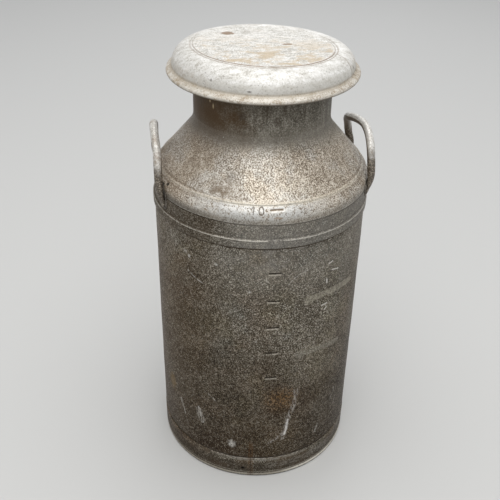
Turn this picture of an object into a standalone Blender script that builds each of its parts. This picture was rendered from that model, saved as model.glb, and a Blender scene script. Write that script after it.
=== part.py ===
"""Ten-gallon milk can with a lift-off mushroom lid.

Metres, +Z up. The can stands on z = 0 with its axis on Z. The two handles are on -X and +X, and the
gallon marks run up the side that faces -Y. Every turned piece has the same number of facets, so a gap
between two walls is the same all the way round.
"""

import math

import bpy
from mathutils import Matrix

# Driving dimensions
FACETS = 36
GAP = 0.0003                 # clearance kept between pieces that touch

BODY_R = 0.170               # outside of the body wall
BODY_FOOT_R = 0.1689         # the wall draws in slightly towards the foot
WALL = 0.002                 # body, shoulder and neck sheet
SEAM_Z = 0.5197              # lower edge of the shoulder skirt
LAP = 0.0052                 # how far the wall runs up inside the skirt
JOGGLE = 0.0022              # step that lets two sheets lap

BEAD_LOW_Z = 0.4811          # swaged band that stands out of the wall
BEAD_HIGH_Z = 0.4933
BEAD_R = 0.1728

CREASE_R = 0.1606            # where the cone turns over into the skirt
CREASE_Z = 0.5473
SKIRT_R = 0.1701
SKIRT_TOP_Z = 0.526
NECK_R = 0.1055
KNEE_Z = 0.6124              # where the cone would meet the neck
KNEE_REACH = 0.014           # how far the fillet runs from the knee each way

MOUTH_TOP_Z = 0.6961
MOUTH_WIRE_R = 0.0024

HOOP_TOP_Z = 0.0437
HOOP_TOP_R = 0.1696
HOOP_FOOT_R = 0.1690
HOOP_SHEET = 0.0018
HOOP_ROLL_R = 0.003          # outer corner radius of the rolled foot
HOOP_ROLL_WIDTH = 0.0102
HOOP_ROLL_HEIGHT = 0.0102
FOOT_WIRE_R = 0.0029

WALL_END_Z = 0.021           # lower edge of the wall inside the hoop
WALL_END_R = 0.1671
FLOOR_RIM_R = 0.1651
FLOOR_RIM_Z = 0.0434
FLOOR_EDGE_Z = 0.0299        # underside of the dished floor at its edge
FLOOR_CENTRE_Z = 0.0202
WELD_LEG = 0.0021

HANDLE_ROD_R = 0.0063
HANDLE_HALF_WIDTH = 0.068
HANDLE_X = 0.1636
HANDLE_ARCH_Z = 0.509        # the half-oval arch springs from here
HANDLE_ARCH_HEIGHT = 0.0965
LEFT_END_Z = 0.5012          # the right handle is welded on a little higher
RIGHT_END_Z = 0.5075
# The loops are bent by use. Pairs of turn, in degrees from the front leg over the arch to the back leg, and
# distance from the plane x = 0
LEFT_BEND = ((0, 0.1640), (30, 0.1642), (50, 0.1643), (70, 0.1662), (90, 0.1668), (120, 0.1654), (150, 0.1655),
             (165, 0.1650), (180, 0.1640))
RIGHT_BEND = ((0, 0.1636), (30, 0.1638), (50, 0.1636), (66, 0.1622), (78, 0.1588), (90, 0.1510), (102, 0.1436),
              (120, 0.1454), (135, 0.1506), (150, 0.1562), (165, 0.1632), (180, 0.1636))
WELD_BEAD_R = 0.0015
WELD_TOP_Z = 0.5235

LID_SHEET = 0.0016
LID_TOP_Z = 0.7272
LID_DISC_Z = 0.7263
LID_GROOVE_R = 0.1066
LID_GROOVE_HALF_WIDTH = 0.0022
LID_GROOVE_DEPTH = 0.001
LID_SIDE_R = 0.1366
LID_VALLEY_Z = 0.7010
LID_RIM_R = 0.1450
LID_ROLL_R = 0.0034
LID_ROLL_Z = 0.6921
LID_WIRE_R = 0.0014
PLUG_TOP_R = 0.1030
PLUG_FOOT_R = 0.0988
PLUG_FLOOR_Z = 0.6550
PLUG_FLANGE_R = 0.134

MARK_PITCH = 0.0509          # height of one gallon
MARK_COUNT = 5
TOP_MARK_Z = 0.4345
TEN_MARK_Z = 0.5410
MARK_WIDTH = 0.021
MARK_HEIGHT = 0.002
MARK_DEPTH = 0.0011
TEN_MARK_REACH = 0.0057      # the ten mark lies on the turn, inside the skirt's radius

DRAIN_HOLE_R = 0.0025
DRAIN_HOLE_Z = 0.0198
DRAIN_HOLE_TURN = math.radians(-14.6)  # from -Y towards -X


def clear_scene():
    for obj in list(bpy.data.objects):
        bpy.data.objects.remove(obj, do_unlink=True)


def new_collection(name):
    group = bpy.data.collections.new(name)
    bpy.context.scene.collection.children.link(group)
    return group


def metal(name, colour, roughness, metallic=0.85):
    material = bpy.data.materials.new(name)
    material.use_nodes = True
    shader = material.node_tree.nodes["Principled BSDF"]
    shader.inputs["Base Color"].default_value = (*colour, 1.0)
    shader.inputs["Roughness"].default_value = roughness
    shader.inputs["Metallic"].default_value = metallic
    return material


def arc(centre, radius, start, end, steps):
    """Points of an arc, with angles in degrees from +X towards +Z."""
    points = []
    for i in range(steps + 1):
        angle = math.radians(start + (end - start) * i / steps)
        points.append((centre[0] + radius * math.cos(angle), centre[1] + radius * math.sin(angle)))
    return points


def bend(start, corner, end, steps):
    """A quadratic curve from start to end that is pulled towards corner."""
    points = []
    for i in range(steps + 1):
        t = i / steps
        a, b, c = (1 - t) ** 2, 2 * t * (1 - t), t ** 2
        points.append(tuple(a * p + b * q + c * r for p, q, r in zip(start, corner, end)))
    return points


def towards(start, end, distance):
    length = math.dist(start, end)
    return tuple(p + (q - p) * distance / length for p, q in zip(start, end))


def link(obj, group, parent, material):
    obj.parent = parent
    obj.data.materials.append(material)
    group.objects.link(obj)
    return obj


def profile_mesh(name, points, closed, base_z):
    mesh = bpy.data.meshes.new(name)
    edges = [(i, i + 1) for i in range(len(points) - 1)]
    if closed:
        edges.append((len(points) - 1, 0))
    mesh.from_pydata([(r, 0.0, z - base_z) for r, z in points], edges, [])
    return mesh


def add_screw(obj):
    screw = obj.modifiers.new("Turn", "SCREW")
    screw.axis = "Z"
    screw.angle = 2 * math.pi
    screw.steps = FACETS
    screw.render_steps = FACETS
    screw.use_merge_vertices = True
    screw.merge_threshold = 0.00001
    screw.use_smooth_shade = True


def turned_sheet(name, outside, sheet, group, parent, material):
    """A sheet turned about Z. The profile is its outer face, from top to bottom."""
    mesh = profile_mesh(name, outside, False, parent.location.z)
    obj = link(bpy.data.objects.new(name, mesh), group, parent, material)
    add_screw(obj)
    solid = obj.modifiers.new("Sheet", "SOLIDIFY")
    solid.thickness = sheet
    solid.offset = -1.0
    solid.use_even_offset = True
    return obj


def turned_ring(name, section, group, parent, material):
    """A solid ring turned about Z. The section is a closed loop that runs down its outer side."""
    mesh = profile_mesh(name, section, True, parent.location.z)
    obj = link(bpy.data.objects.new(name, mesh), group, parent, material)
    add_screw(obj)
    return obj


def wire_ring(name, radius, z, wire_r, group, parent, material):
    section = arc((radius, z), wire_r, 90.0, -270.0, 6)[:-1]
    return turned_ring(name, section, group, parent, material)


def rod(name, points, rod_r, end_scale, group, parent, material):
    curve = bpy.data.curves.new(name, "CURVE")
    curve.dimensions = "3D"
    curve.bevel_depth = rod_r
    curve.bevel_resolution = 2
    curve.use_fill_caps = True
    spline = curve.splines.new("POLY")
    spline.points.add(len(points) - 1)
    for point, place in zip(spline.points, points):
        point.co = (*place, 1.0)
    for end in (0, -1):
        spline.points[end].radius = end_scale
    return link(bpy.data.objects.new(name, curve), group, parent, material)


def box_cutter(name, centre, size, group):
    bpy.ops.mesh.primitive_cube_add(size=1.0, location=centre)
    cutter = bpy.context.object
    cutter.data.transform(Matrix.Diagonal((*size, 1.0)))
    return as_cutter(cutter, name, group)


def as_cutter(cutter, name, group):
    cutter.name = name
    for owner in list(cutter.users_collection):
        owner.objects.unlink(cutter)
    group.objects.link(cutter)
    cutter.hide_render = True
    cutter.display_type = "WIRE"
    return cutter


def cut(obj, cutter):
    boolean = obj.modifiers.new(cutter.name, "BOOLEAN")
    boolean.operation = "DIFFERENCE"
    boolean.solver = "EXACT"
    boolean.object = cutter


def body_shell(group, can, cutters):
    inner_r = SKIRT_R - WALL - GAP
    outside = [
        (inner_r, SEAM_Z + LAP),
        (inner_r, SEAM_Z - GAP / 2),
        (BODY_R, SEAM_Z - JOGGLE),
        (BODY_R, BEAD_HIGH_Z + 0.002),
        (BEAD_R, BEAD_HIGH_Z),
        (BEAD_R, BEAD_LOW_Z),
        (BODY_R, BEAD_LOW_Z - 0.002),
        (BODY_R, 0.300),
        (BODY_FOOT_R, HOOP_TOP_Z + 0.0032),
        (HOOP_TOP_R - HOOP_SHEET - GAP, HOOP_TOP_Z + 0.001),
        (WALL_END_R, WALL_END_Z),
    ]
    shell = turned_sheet("body_shell", outside, WALL, group, can, metal("body", (0.25, 0.22, 0.19), 0.55))
    for i in range(MARK_COUNT):
        place = (0.0, -BODY_R, TOP_MARK_Z - i * MARK_PITCH)
        cut(shell, box_cutter(f"mark_{8 - i}", place, (MARK_WIDTH, 2 * MARK_DEPTH, MARK_HEIGHT), cutters))
    return shell


def shoulder(group, can, cutters):
    knee = (NECK_R, KNEE_Z)
    crease = (CREASE_R, CREASE_Z)
    slope = (CREASE_Z - KNEE_Z) / (CREASE_R - NECK_R)
    turn = (SKIRT_R, CREASE_Z + slope * (SKIRT_R - CREASE_R))
    top = (NECK_R, KNEE_Z + KNEE_REACH)
    outside = bend(top, knee, towards(knee, crease, KNEE_REACH), 4)
    outside += bend(crease, turn, (SKIRT_R, SKIRT_TOP_Z), 5)
    outside.append((SKIRT_R, SEAM_Z + GAP / 2))
    breast = turned_sheet("shoulder", outside, WALL, group, can, metal("shoulder", (0.36, 0.33, 0.29), 0.5))
    mark = (0.0, -SKIRT_R, TEN_MARK_Z)
    cut(breast, box_cutter("mark_10", mark, (MARK_WIDTH, 2 * TEN_MARK_REACH, MARK_HEIGHT), cutters))
    return breast


def neck_collar(group, can):
    inside_r = MOUTH_WIRE_R + GAP
    centre = (NECK_R + inside_r, MOUTH_TOP_Z - WALL - inside_r)
    outside = arc(centre, inside_r, -60.0, 180.0, 5)
    outside.append((NECK_R, KNEE_Z + KNEE_REACH + GAP))
    turned_sheet("neck_collar", outside, WALL, group, can, metal("neck", (0.16, 0.14, 0.12), 0.6))
    wire_ring("mouth_wire", centre[0], centre[1], MOUTH_WIRE_R, group, can,
              metal("mouth_wire", (0.40, 0.39, 0.37), 0.4))


def foot(group, can, cutters):
    outer_r = HOOP_FOOT_R - HOOP_ROLL_R
    inner_r = HOOP_FOOT_R - HOOP_ROLL_WIDTH + HOOP_ROLL_R
    roll_top = HOOP_ROLL_HEIGHT - HOOP_ROLL_R
    outside = [(HOOP_TOP_R, HOOP_TOP_Z)]
    outside += arc((outer_r, HOOP_ROLL_R), HOOP_ROLL_R, 0.0, -90.0, 2)
    outside += arc((inner_r, HOOP_ROLL_R), HOOP_ROLL_R, 270.0, 180.0, 2)
    outside += arc((inner_r, roll_top), HOOP_ROLL_R, 180.0, 90.0, 2)
    outside.append((outer_r - 0.0015, HOOP_ROLL_HEIGHT))
    hoop = turned_sheet("foot_hoop", outside, HOOP_SHEET, group, can, metal("hoop", (0.27, 0.22, 0.18), 0.6))
    bpy.ops.mesh.primitive_cylinder_add(vertices=12, radius=DRAIN_HOLE_R, depth=0.012)
    drill = as_cutter(bpy.context.object, "drain_drill", cutters)
    drill.location = (
        HOOP_FOOT_R * math.sin(DRAIN_HOLE_TURN),
        -HOOP_FOOT_R * math.cos(DRAIN_HOLE_TURN),
        DRAIN_HOLE_Z,
    )
    drill.rotation_euler = (math.radians(90.0), 0.0, DRAIN_HOLE_TURN)
    cut(hoop, drill)
    wire_r = HOOP_FOOT_R - HOOP_ROLL_WIDTH / 2 + 0.0003
    wire_ring("foot_wire", wire_r, HOOP_ROLL_HEIGHT / 2, FOOT_WIRE_R, group, can,
              metal("foot_wire", (0.30, 0.27, 0.24), 0.5))


def bottom_plate(group, can):
    edge_r = FLOOR_RIM_R - 0.007
    outside = [(FLOOR_RIM_R, FLOOR_RIM_Z)]
    outside += bend((FLOOR_RIM_R - 0.0003, FLOOR_EDGE_Z + 0.007), (FLOOR_RIM_R - 0.0004, FLOOR_EDGE_Z),
                    (edge_r, FLOOR_EDGE_Z - 0.0006), 3)
    for share in (0.66, 0.33, 0.0):
        rise = (FLOOR_EDGE_Z - FLOOR_CENTRE_Z) * share ** 2
        outside.append((edge_r * share, FLOOR_CENTRE_Z + rise))
    turned_sheet("bottom_plate", outside, WALL, group, can, metal("floor", (0.42, 0.41, 0.39), 0.45))


def seam_welds(group, can):
    bright = metal("weld", (0.45, 0.44, 0.42), 0.5)
    outer_r = SKIRT_R - WALL - GAP
    z = SEAM_Z + LAP + GAP
    turned_ring("shoulder_weld", [(outer_r, z + WELD_LEG), (outer_r, z), (outer_r - WELD_LEG, z)],
                group, can, bright)
    outer_r = FLOOR_RIM_R
    z = FLOOR_RIM_Z + GAP
    turned_ring("bottom_weld", [(outer_r, z + WELD_LEG), (outer_r, z), (outer_r - WELD_LEG, z)],
                group, can, bright)


def smooth_value(pairs, place):
    """The value at place on a smooth line through pairs of place and value."""
    places, values = zip(*pairs)
    last = len(pairs) - 1
    slopes = []
    for i in range(len(pairs)):
        before, after = max(i - 1, 0), min(i + 1, last)
        slopes.append((values[after] - values[before]) / (places[after] - places[before]))
    i = max(k for k in range(last) if places[k] <= place)
    width = places[i + 1] - places[i]
    t = (place - places[i]) / width
    return ((1 + 2 * t) * (1 - t) ** 2 * values[i] + t ** 2 * (3 - 2 * t) * values[i + 1]
            + width * t * (1 - t) * ((1 - t) * slopes[i] - t * slopes[i + 1]))


def handle_path(side, end_z, stand_out):
    """Up the front leg, over the half-oval arch and down the back leg, on the side given by -1 or +1."""
    steps = 20
    points = [(side * stand_out[0][1], -HANDLE_HALF_WIDTH, end_z)]
    for i in range(steps + 1):
        turn = 180.0 * i / steps
        points.append((side * smooth_value(stand_out, turn), -HANDLE_HALF_WIDTH * math.cos(math.radians(turn)),
                       HANDLE_ARCH_Z + HANDLE_ARCH_HEIGHT * math.sin(math.radians(turn))))
    points.append((side * stand_out[-1][1], HANDLE_HALF_WIDTH, end_z))
    return points


def weld_path(side, end, end_z):
    """Round the foot of a leg, in the corner between the rod and the wall."""
    turn = math.atan2(HANDLE_HALF_WIDTH, HANDLE_X)
    radius = SKIRT_R + WELD_BEAD_R + GAP
    half = HANDLE_ROD_R + WELD_BEAD_R
    low = end_z - WELD_BEAD_R - 2 * GAP
    outline = [(-half, WELD_TOP_Z), (-half, (WELD_TOP_Z + low) / 2), (-half, low + 0.0035)]
    outline += [(-half + 0.0015, low + 0.0016), (-0.0025, low)]
    outline += [(-offset, z) for offset, z in reversed(outline)]
    points = []
    for offset, z in outline:
        angle = end * (turn + offset / radius)
        points.append((side * radius * math.cos(angle), radius * math.sin(angle), z))
    return points


def handles(group, can):
    for name, side, end_z, stand_out in (("left", -1, LEFT_END_Z, LEFT_BEND), ("right", 1, RIGHT_END_Z, RIGHT_BEND)):
        rod(f"handle_{name}", handle_path(side, end_z, stand_out), HANDLE_ROD_R, 0.7, group, can,
            metal(f"handle_{name}", (0.62, 0.60, 0.57), 0.35))
        for place, end in (("front", -1), ("back", 1)):
            rod(f"weld_{name}_{place}", weld_path(side, end, end_z), WELD_BEAD_R, 0.6, group, can,
                metal(f"weld_{name}_{place}", (0.40, 0.38, 0.35), 0.55))


def lid_cap(group, lid):
    groove_in = LID_GROOVE_R - LID_GROOVE_HALF_WIDTH
    groove_out = LID_GROOVE_R + LID_GROOVE_HALF_WIDTH
    groove_z = LID_DISC_Z - LID_GROOVE_DEPTH
    outside = [(0.0, LID_TOP_Z), (0.055, LID_TOP_Z), (groove_in, LID_DISC_Z)]
    outside += [(groove_in + 0.001, groove_z), (groove_out - 0.001, groove_z)]
    for i in range(7):
        angle = math.radians(90.0 * i / 6)
        outside.append((groove_out + (LID_SIDE_R - groove_out) * math.sin(angle),
                        LID_VALLEY_Z + (LID_DISC_Z - LID_VALLEY_Z) * math.cos(angle)))
    centre = (LID_RIM_R - LID_ROLL_R, LID_ROLL_Z)
    outside.append((LID_SIDE_R + 0.0008, LID_VALLEY_Z - 0.0008))
    outside += arc(centre, LID_ROLL_R, 55.0, -190.0, 7)
    turned_sheet("lid_cap", outside, LID_SHEET, group, lid, metal("lid", (0.74, 0.72, 0.68), 0.35))
    wire_ring("lid_rim_wire", centre[0], centre[1], LID_WIRE_R, group, lid,
              metal("lid_wire", (0.5, 0.49, 0.47), 0.4))


def lid_pan(group, lid):
    flange_z = MOUTH_TOP_Z + GAP
    outside = [(PLUG_FLANGE_R, flange_z)]
    outside += bend((PLUG_TOP_R + 0.004, flange_z), (PLUG_TOP_R, flange_z), (PLUG_TOP_R, flange_z - 0.0036), 3)
    outside += bend((PLUG_FOOT_R, PLUG_FLOOR_Z + 0.005), (PLUG_FOOT_R - 0.0003, PLUG_FLOOR_Z),
                    (PLUG_FOOT_R - 0.005, PLUG_FLOOR_Z - 0.0003), 3)
    outside.append((0.0, PLUG_FLOOR_Z - 0.0036))
    turned_sheet("lid_pan", outside, LID_SHEET, group, lid, metal("lid_pan", (0.5, 0.49, 0.46), 0.45))


def main():
    clear_scene()
    group = new_collection("milk_can")
    cutters = new_collection("cutters")
    can = bpy.data.objects.new("can_frame", None)
    lid = bpy.data.objects.new("lid_frame", None)
    lid.location = (0.0, 0.0, MOUTH_TOP_Z)
    for empty in (can, lid):
        group.objects.link(empty)
    bpy.context.view_layer.update()

    body_shell(group, can, cutters)
    shoulder(group, can, cutters)
    neck_collar(group, can)
    foot(group, can, cutters)
    bottom_plate(group, can)
    seam_welds(group, can)
    handles(group, can)
    lid_cap(group, lid)
    lid_pan(group, lid)
    bpy.context.view_layer.update()


main()
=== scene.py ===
"""Looks of a worn ten-gallon milk can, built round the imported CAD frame.

Metres, +Z up, can axis on Z. Turned pieces are laid out by azimuth, in degrees from -Y (the side with the
gallon marks) towards +X.
"""

import math
from functools import partial, reduce

import bmesh
import bpy
import numpy as np
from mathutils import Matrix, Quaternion, Vector, noise


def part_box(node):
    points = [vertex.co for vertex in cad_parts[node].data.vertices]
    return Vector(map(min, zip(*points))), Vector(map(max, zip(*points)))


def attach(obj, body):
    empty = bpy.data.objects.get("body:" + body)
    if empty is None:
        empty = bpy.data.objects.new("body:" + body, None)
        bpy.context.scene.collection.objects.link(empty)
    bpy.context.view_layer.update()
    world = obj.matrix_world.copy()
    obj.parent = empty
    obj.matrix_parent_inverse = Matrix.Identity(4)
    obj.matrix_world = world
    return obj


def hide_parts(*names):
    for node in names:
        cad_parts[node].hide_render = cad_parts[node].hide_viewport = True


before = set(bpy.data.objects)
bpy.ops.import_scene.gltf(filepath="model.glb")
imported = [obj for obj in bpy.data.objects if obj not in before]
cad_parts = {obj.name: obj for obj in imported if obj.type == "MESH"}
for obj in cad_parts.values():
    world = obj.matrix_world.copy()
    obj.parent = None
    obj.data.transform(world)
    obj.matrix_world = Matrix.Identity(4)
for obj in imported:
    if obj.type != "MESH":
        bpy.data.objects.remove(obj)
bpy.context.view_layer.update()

# ---------------------------------------------------------------- sizes, from the frame where it holds them
body_low, body_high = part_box("body_shell")
skirt_low, skirt_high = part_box("shoulder")
_, hoop_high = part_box("foot_hoop")
floor_low, floor_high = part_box("bottom_plate")
neck_low, neck_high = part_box("neck_collar")
mouth_low, mouth_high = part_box("mouth_wire")
foot_wire_low, foot_wire_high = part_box("foot_wire")
_, lid_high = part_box("lid_cap")
lid_wire_low, lid_wire_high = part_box("lid_rim_wire")
pan_low, pan_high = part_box("lid_pan")
left_low, left_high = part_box("handle_left")
right_low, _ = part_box("handle_right")

WALL = 0.002
GAP = 0.0003
BEAD_R = body_high.x
BEAD_DEPTH = 0.0028
BODY_R = BEAD_R - BEAD_DEPTH
BODY_FOOT_R = BODY_R - 0.0011
BODY_EDGE_R = 0.1671         # the wall's lower edge, hidden in the hoop
SEAM_Z = skirt_low.z
SKIRT_R = skirt_high.x
BEAD_LOW_Z = 0.4811
BEAD_HIGH_Z = 0.4933

CREASE_R = 0.1606
CREASE_Z = 0.5473
NECK_R = 0.1055
KNEE_Z = 0.6124
KNEE_TURN = 0.038            # radius of the sweep from the cone into the neck
NECK_SEAM_Z = neck_low.z - GAP / 2
MOUTH_Z = neck_high.z
MOUTH_WIRE_R = (mouth_high.z - mouth_low.z) / 2

HOOP_Z = hoop_high.z
HOOP_TOP_R = 0.1696
HOOP_FOOT_R = 0.1690
HOOP_SHEET = 0.0018
HOOP_ROLL_R = 0.003
HOOP_ROLL_WIDTH = 0.0102
HOOP_ROLL_HEIGHT = 0.0102
DRAIN_AZIMUTH = -14.6
DRAIN_Z = 0.0198
DRAIN_R = 0.0026
HOOP_SEAM_AZIMUTH = -9.9
FLOOR_TURN_Z = 0.0299
FLOOR_DISH = 0.0091          # how far the floor's middle lies below its edge

LID_SHEET = 0.0016
LID_TOP_Z = lid_high.z
LID_RIM_R = lid_high.x
LID_DISC_Z = LID_TOP_Z - 0.0009
LID_GROOVE_R = 0.1066
LID_GROOVE_HALF_WIDTH = 0.0023
LID_SIDE_R = 0.1366
LID_VALLEY_Z = 0.7010
LID_ROLL_R = 0.0034
LID_ROLL_Z = 0.6921
LID_DENT_AZIMUTH = 62.0
LID_TILT = (0.030, 0.030)    # the lid's top sits out of level, its left and front sides up
PAN_TOP_R = 0.1030
PAN_FOOT_R = 0.0988
PAN_CORNER_Z = 0.6550

MARK_PITCH = 0.0509          # height of one gallon
MARK_HALF_WIDTH = 0.0102
TOP_MARK_Z = 0.4345
MARK_HEIGHTS = [TOP_MARK_Z - i * MARK_PITCH for i in range(5)]
TEN_MARK_Z = 0.5410
ONE_AZIMUTH = -11.7
NOUGHT_AZIMUTH = -7.8
NOUGHT_HALF_WIDTH = 0.0034
NOUGHT_HALF_HEIGHT = 0.0048
NOUGHT_Z = TEN_MARK_Z - 0.0012

HANDLE_HALF_WIDTH = 0.068
HANDLE_X = 0.1636
HANDLE_ARCH_Z = 0.509
HANDLE_ARCH_HEIGHT = 0.0965
HANDLE_ROD_R = left_high.y - HANDLE_HALF_WIDTH
HANDLE_FLAT_Z = 0.5450       # the rods are beaten thinner below here
WELD_TOP_Z = 0.5290
# The bent loops: turn in degrees, from the front leg over the arch to the back one, and distance from x = 0
LEFT_BEND = ((0, 0.1640), (30, 0.1642), (50, 0.1643), (70, 0.1662), (90, 0.1668), (120, 0.1654),
             (150, 0.1655), (165, 0.1650), (180, 0.1640))
RIGHT_BEND = ((0, 0.1636), (30, 0.1638), (50, 0.1636), (66, 0.1622), (78, 0.1588), (90, 0.1510),
              (102, 0.1436), (120, 0.1454), (135, 0.1506), (150, 0.1562), (165, 0.1632), (180, 0.1636))

MM = 0.001


# ---------------------------------------------------------------- profiles, as (radius, height) points
def rounded(corners, steps=5):
    """A line through corners given as (r, z) or (r, z, radius), each turned by an arc of its radius."""
    points = []
    for i, corner in enumerate(corners):
        here = Vector(corner[:2])
        if len(corner) < 3 or i in (0, len(corners) - 1):
            points.append(tuple(here))
            continue
        before = (Vector(corners[i - 1][:2]) - here).normalized()
        after = (Vector(corners[i + 1][:2]) - here).normalized()
        half_open = before.angle(after) / 2
        reach = corner[2] / math.tan(half_open)
        centre = here + (before + after).normalized() * corner[2] / math.sin(half_open)
        start = here + before * reach - centre
        end = here + after * reach - centre
        sweep = start.angle_signed(end)
        for step in range(steps + 1):
            turn = -sweep * step / steps
            cos, sin = math.cos(turn), math.sin(turn)
            points.append((centre.x + start.x * cos - start.y * sin,
                           centre.y + start.x * sin + start.y * cos))
    return points


def arc(centre, radius, start, end, steps):
    """Points of an arc, with angles in degrees from +X towards +Z."""
    turns = [math.radians(start + (end - start) * i / steps) for i in range(steps + 1)]
    return [(centre[0] + radius * math.cos(a), centre[1] + radius * math.sin(a)) for a in turns]


def fine(points, longest):
    """The same line with its long runs cut into steps no longer than longest."""
    result = [points[0]]
    for start, end in zip(points[:-1], points[1:]):
        count = max(1, math.ceil(math.dist(start, end) / longest))
        for i in range(1, count + 1):
            result.append(tuple(a + (b - a) * i / count for a, b in zip(start, end)))
    return result


def finer(points, longest, near):
    """The same line, with steps no longer than longest where near(start, end) holds."""
    result = []
    for start, end in zip(points[:-1], points[1:]):
        result += fine([start, end], longest)[:-1] if near(start, end) else [start]
    return result + [points[-1]]


def sheet_section(outside, sheet, inner_step=0.012, round_ends=(True, True)):
    """The closed section of a sheet from its outer face, which runs from top to bottom."""
    line = np.array(outside)
    along = np.diff(line, axis=0)
    along /= np.linalg.norm(along, axis=1)[:, None]
    inward = np.stack([along[:, 1], -along[:, 0]], 1)
    first = np.vstack([inward[:1], inward])
    second = np.vstack([inward, inward[-1:]])
    middle = first + second
    middle /= np.maximum(np.einsum("ij,ij->i", middle, second), 0.6)[:, None]
    inside = line + middle * sheet
    inside[:, 0] = np.where(line[:, 0] < 1e-6, 0.0, inside[:, 0])
    section = [tuple(p) for p in line]
    if round_ends[1]:
        section += half_round(line[-1], inside[-1], along[-1])
    section += [tuple(p) for p in thinned(inside[::-1], inner_step)]
    if round_ends[0]:
        section += half_round(inside[0], line[0], -along[0])
    return section


def half_round(start, end, outwards, steps=4):
    """The points between start and end on a half circle that bulges outwards."""
    middle = (start + end) / 2
    reach = np.linalg.norm(end - start) / 2
    points = []
    for i in range(1, steps):
        turn = math.pi * i / steps
        points.append(tuple(middle + (start - middle) * math.cos(turn) + outwards * reach * math.sin(turn)))
    return points


def thinned(points, step):
    """Leaves out points of a straight run that are closer together than step."""
    kept = [points[0]]
    for before, here, after in zip(points[:-2], points[1:-1], points[2:]):
        a, b = here - before, after - here
        straight = abs(a[0] * b[1] - a[1] * b[0]) < 0.02 * np.linalg.norm(a) * np.linalg.norm(b)
        if not straight or np.linalg.norm(here - kept[-1]) >= step:
            kept.append(here)
    kept.append(points[-1])
    return kept


# ---------------------------------------------------------------- meshes
def azimuths(*dense, step=2.5):
    """Azimuths all the way round, closer together in each dense span given as (start, end, step)."""
    turns = set()
    for i in range(round(360 / step)):
        turn = -180 + i * step
        if not any(start - step / 3 < turn < end + step / 3 for start, end, _ in dense):
            turns.add(round(turn, 4))
    for start, end, close in dense:
        for i in range(round((end - start) / close) + 1):
            turns.add(round(start + i * close, 4))
    return sorted(turns)


ROUND = azimuths()


def placed(name, data):
    made = bpy.data.objects.new(name, data)
    bpy.context.scene.collection.objects.link(made)
    return made


def new_piece(name, places, faces, body, node, material, sharp=38.0):
    mesh = bpy.data.meshes.new(name)
    mesh.from_pydata([tuple(p) for p in places], [], faces)
    shape = bmesh.new()
    shape.from_mesh(mesh)
    bmesh.ops.remove_doubles(shape, verts=shape.verts, dist=1e-6)
    bmesh.ops.recalc_face_normals(shape, faces=shape.faces)
    shape.to_mesh(mesh)
    shape.free()
    mesh.shade_smooth()
    mesh.set_sharp_from_angle(angle=math.radians(sharp))
    mesh.materials.append(material)
    piece = placed(name, mesh)
    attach(piece, body)
    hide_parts(node)
    return piece


def turned(name, section, body, node, material, turns=None, relief=None, sharp=38.0):
    """A section turned about Z. relief gives how far each point moves out and up, from where it is."""
    turns = np.radians(turns or ROUND)
    radius, turn = np.meshgrid([p[0] for p in section], turns, indexing="ij")
    height = np.repeat(np.array([[p[1]] for p in section]), len(turns), axis=1)
    if relief:
        out, up = relief(np.degrees(turn), radius, height)
        on_axis = radius < 1e-6
        radius = np.where(on_axis, 0.0, radius + out)
        height = height + up
    places = np.stack([radius * np.sin(turn), -radius * np.cos(turn), height], -1).reshape(-1, 3)
    rows, columns = len(section), len(turns)
    closed = section[0][0] > 1e-6
    faces = []
    for i in range(rows if closed else rows - 1):
        above, below = i * columns, (i + 1) % rows * columns
        for j in range(columns):
            k = (j + 1) % columns
            faces.append((above + j, below + j, below + k, above + k))
    return new_piece(name, places, faces, body, node, material, sharp)


def ring(name, centre, radius, body, node, material, steps=14):
    """A round wire turned about Z."""
    turned(name, arc(centre, radius, 90, -270, steps)[:-1], body, node, material)


def swept(name, path, outline, body, node, material, sides=16):
    """A rod along path. outline gives its half width along the wall and its half depth off it."""
    path = [Vector(p) for p in path]
    places, faces = [], []
    for i, here in enumerate(path):
        along = (path[min(i + 1, len(path) - 1)] - path[max(i - 1, 0)]).normalized()
        off_wall = Vector((here.x, here.y, 0.0)).normalized()
        off_wall = (off_wall - along * off_wall.dot(along)).normalized()
        aside = along.cross(off_wall)
        width, depth = outline(i / (len(path) - 1), here)
        for j in range(sides):
            turn = math.tau * j / sides
            cos, sin = math.cos(turn), math.sin(turn)
            lump = 1.0 + 0.03 * noise.noise(here / 0.012 + aside * cos + off_wall * sin)
            places.append(here + aside * width * cos * lump + off_wall * depth * sin * lump)
    for i in range(len(path) - 1):
        for j in range(sides):
            k = (j + 1) % sides
            faces.append((i * sides + j, i * sides + k, (i + 1) * sides + k, (i + 1) * sides + j))
    last = (len(path) - 1) * sides
    places += [path[0], path[-1]]
    for j in range(sides):
        k = (j + 1) % sides
        faces.append((len(places) - 2, k, j))
        faces.append((len(places) - 1, last + j, last + k))
    return new_piece(name, places, faces, body, node, material, 50.0)


# ---------------------------------------------------------------- relief of the sheets
def eased(share):
    """A share held between 0 and 1 and eased at both ends."""
    share = np.clip(share, 0.0, 1.0)
    return share * share * (3.0 - 2.0 * share)


def bump(distance, reach):
    """1 where distance is 0, falling smoothly to 0 at reach."""
    return eased(1.0 - np.abs(distance) / reach)


def plateau(distance, half, soft):
    """1 while distance is within half, falling smoothly to 0 over soft."""
    return eased((half + soft - np.abs(distance)) / soft)


def unevenness(azimuth, height, size, seed):
    """Smooth noise from -1 to 1 on the can's surface, the same on both faces of a sheet."""
    turn = np.radians(azimuth)
    spots = np.stack([BODY_R * np.sin(turn), -BODY_R * np.cos(turn), height], -1).reshape(-1, 3) / size + seed
    return np.array([noise.noise(Vector(spot)) for spot in spots]).reshape(azimuth.shape)


def stroke(across, up, start, end, half_width):
    """A pressed line from start to end, in metres along the wall and up it."""
    run, rise = end[0] - start[0], end[1] - start[1]
    across, up = across - start[0], up - start[1]
    share = np.clip((across * run + up * rise) / (run * run + rise * rise), 0.0, 1.0)
    gap = np.hypot(across - share * run, up - share * rise)
    return bump(gap, half_width)


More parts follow.
